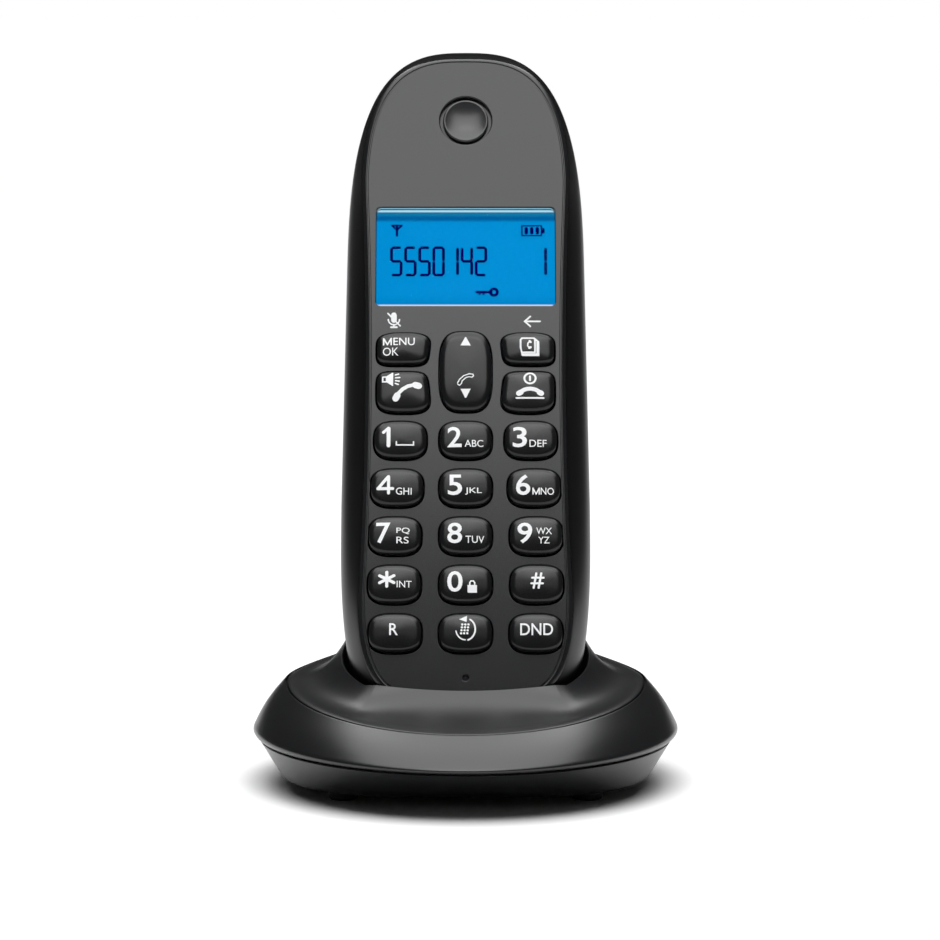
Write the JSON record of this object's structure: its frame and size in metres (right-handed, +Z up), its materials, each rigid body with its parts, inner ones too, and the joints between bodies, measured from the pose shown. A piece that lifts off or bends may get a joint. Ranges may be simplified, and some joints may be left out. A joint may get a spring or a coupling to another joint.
{
  "type": "cordless phone with base",
  "caption": "Leaning cordless phone handset with a lit display and a sprung keypad, standing in an oval charging base that it lifts out of.",
  "frame": {"origin": "under the middle of the whole phone, at the level that the rubber feet stand on", "axes": "+Z up, +X to the right of someone facing the keys, -Y towards that person; the handset leans back towards +Y"},
  "size_m": [0.087, 0.1057, 0.1483],
  "materials": {
    "handset_face_plastic": "satin, fine grain",
    "handset_back_plastic": "semi-gloss black",
    "window_clear": "clear gloss",
    "lcd_blue": "backlit blue",
    "white_plastic": "matte",
    "silicone": "matte",
    "circuit_board": "satin",
    "disc_plastic": "satin",
    "speaker_metal": "satin",
    "contact_metal": "plated",
    "cell_sleeve": "gloss",
    "screw_steel": "zinc",
    "key_plastic": "satin",
    "base_top_plastic": "satin, fine grain",
    "base_skirt_plastic": "satin, fine grain",
    "base_bottom_plastic": "satin",
    "pin_block_plastic": "matte",
    "gold_contact": "gold plated",
    "socket_plastic": "matte",
    "foot_rubber": "matte"
  },
  "bodies": {
    "base": {"base_top_cover": "base_top_plastic", "base_skirt": "base_skirt_plastic", "base_bottom": "base_bottom_plastic", "base_board": "circuit_board", "charge_pin_block": "pin_block_plastic", "line_socket": "socket_plastic", "power_socket": "socket_plastic", "socket_wires": "gold_contact", "rubber_feet": "foot_rubber", "base_screws": "screw_steel"},
    "handset": {"handset_front_housing": "handset_face_plastic", "handset_rear_housing": "handset_back_plastic", "display_window": "window_clear", "lcd_glass": "lcd_blue", "lcd_backlight": "white_plastic", "keypad_mat": "silicone", "handset_board": "circuit_board", "earpiece_disc": "disc_plastic", "earpiece_speaker": "speaker_metal", "microphone": "speaker_metal", "ringer_speaker": "speaker_metal", "handset_charge_pads": "contact_metal", "battery_contacts": "contact_metal", "battery_cell_left": "cell_sleeve", "battery_cell_right": "cell_sleeve", "handset_screws": "screw_steel"},
    "battery_door": {"battery_cover": "handset_back_plastic"},
    "page_button": {"page_key": "key_plastic"},
    "pin_left": {"charge_pin_left": "gold_contact"},
    "pin_right": {"charge_pin_right": "gold_contact"},
    "key_menu": {"key_menu": "key_plastic"},
    "key_phonebook": {"key_phonebook": "key_plastic"},
    "key_talk": {"key_talk": "key_plastic"},
    "key_end": {"key_end": "key_plastic"},
    "key_rocker": {"key_rocker": "key_plastic"},
    "key_1": {"key_1": "key_plastic"},
    "key_2": {"key_2": "key_plastic"},
    "key_3": {"key_3": "key_plastic"},
    "key_4": {"key_4": "key_plastic"},
    "key_5": {"key_5": "key_plastic"},
    "key_6": {"key_6": "key_plastic"},
    "key_7": {"key_7": "key_plastic"},
    "key_8": {"key_8": "key_plastic"},
    "key_9": {"key_9": "key_plastic"},
    "key_star": {"key_star": "key_plastic"},
    "key_0": {"key_0": "key_plastic"},
    "key_hash": {"key_hash": "key_plastic"},
    "key_recall": {"key_recall": "key_plastic"},
    "key_redial": {"key_redial": "key_plastic"},
    "key_silent": {"key_silent": "key_plastic"}
  },
  "joints": [
    {"name": "handset_lift", "type": "slide", "parent": "base", "child": "handset", "axis": [0, 0.4226, 0.9063], "range_m": [0, 0.08]},
    {"name": "battery_cover_off", "type": "slide", "parent": "handset", "child": "battery_door", "axis": [0, 0.9063, -0.4226], "range_m": [0, 0.01]},
    {"name": "key_menu_press", "type": "slide", "parent": "handset", "child": "key_menu", "axis": [0, 0.9063, -0.4226], "range_m": [0, 0.0008], "stiffness_N_per_m": 400},
    {"name": "key_phonebook_press", "type": "slide", "parent": "handset", "child": "key_phonebook", "axis": [0, 0.9063, -0.4226], "range_m": [0, 0.0008], "stiffness_N_per_m": 400},
    {"name": "key_talk_press", "type": "slide", "parent": "handset", "child": "key_talk", "axis": [0, 0.9063, -0.4226], "range_m": [0, 0.0008], "stiffness_N_per_m": 400},
    {"name": "key_end_press", "type": "slide", "parent": "handset", "child": "key_end", "axis": [0, 0.9063, -0.4226], "range_m": [0, 0.0008], "stiffness_N_per_m": 400},
    {"name": "key_rocker_tilt", "type": "hinge", "parent": "handset", "child": "key_rocker", "pos_m": [0, 0.00777, 0.08204], "axis": [1, 0, 0], "range_deg": [-1.5, 1.5], "stiffness_Nm_per_rad": 0.05},
    {"name": "key_1_press", "type": "slide", "parent": "handset", "child": "key_1", "axis": [0, 0.9063, -0.4226], "range_m": [0, 0.0008], "stiffness_N_per_m": 400},
    {"name": "key_2_press", "type": "slide", "parent": "handset", "child": "key_2", "axis": [0, 0.9063, -0.4226], "range_m": [0, 0.0008], "stiffness_N_per_m": 400},
    {"name": "key_3_press", "type": "slide", "parent": "handset", "child": "key_3", "axis": [0, 0.9063, -0.4226], "range_m": [0, 0.0008], "stiffness_N_per_m": 400},
    {"name": "key_4_press", "type": "slide", "parent": "handset", "child": "key_4", "axis": [0, 0.9063, -0.4226], "range_m": [0, 0.0008], "stiffness_N_per_m": 400},
    {"name": "key_5_press", "type": "slide", "parent": "handset", "child": "key_5", "axis": [0, 0.9063, -0.4226], "range_m": [0, 0.0008], "stiffness_N_per_m": 400},
    {"name": "key_6_press", "type": "slide", "parent": "handset", "child": "key_6", "axis": [0, 0.9063, -0.4226], "range_m": [0, 0.0008], "stiffness_N_per_m": 400},
    {"name": "key_7_press", "type": "slide", "parent": "handset", "child": "key_7", "axis": [0, 0.9063, -0.4226], "range_m": [0, 0.0008], "stiffness_N_per_m": 400},
    {"name": "key_8_press", "type": "slide", "parent": "handset", "child": "key_8", "axis": [0, 0.9063, -0.4226], "range_m": [0, 0.0008], "stiffness_N_per_m": 400},
    {"name": "key_9_press", "type": "slide", "parent": "handset", "child": "key_9", "axis": [0, 0.9063, -0.4226], "range_m": [0, 0.0008], "stiffness_N_per_m": 400},
    {"name": "key_star_press", "type": "slide", "parent": "handset", "child": "key_star", "axis": [0, 0.9063, -0.4226], "range_m": [0, 0.0008], "stiffness_N_per_m": 400},
    {"name": "key_0_press", "type": "slide", "parent": "handset", "child": "key_0", "axis": [0, 0.9063, -0.4226], "range_m": [0, 0.0008], "stiffness_N_per_m": 400},
    {"name": "key_hash_press", "type": "slide", "parent": "handset", "child": "key_hash", "axis": [0, 0.9063, -0.4226], "range_m": [0, 0.0008], "stiffness_N_per_m": 400},
    {"name": "key_recall_press", "type": "slide", "parent": "handset", "child": "key_recall", "axis": [0, 0.9063, -0.4226], "range_m": [0, 0.0008], "stiffness_N_per_m": 400},
    {"name": "key_redial_press", "type": "slide", "parent": "handset", "child": "key_redial", "axis": [0, 0.9063, -0.4226], "range_m": [0, 0.0008], "stiffness_N_per_m": 400},
    {"name": "key_silent_press", "type": "slide", "parent": "handset", "child": "key_silent", "axis": [0, 0.9063, -0.4226], "range_m": [0, 0.0008], "stiffness_N_per_m": 400},
    {"name": "page_key_press", "type": "slide", "parent": "base", "child": "page_button", "axis": [0, -0.8829, -0.4695], "range_m": [0, 0.0007], "stiffness_N_per_m": 500},
    {"name": "charge_pin_left_press", "type": "slide", "parent": "base", "child": "pin_left", "axis": [0, -0.4226, -0.9063], "range_m": [0, 0.0008], "stiffness_N_per_m": 300},
    {"name": "charge_pin_right_press", "type": "slide", "parent": "base", "child": "pin_right", "axis": [0, -0.4226, -0.9063], "range_m": [0, 0.0008], "stiffness_N_per_m": 300}
  ]
}
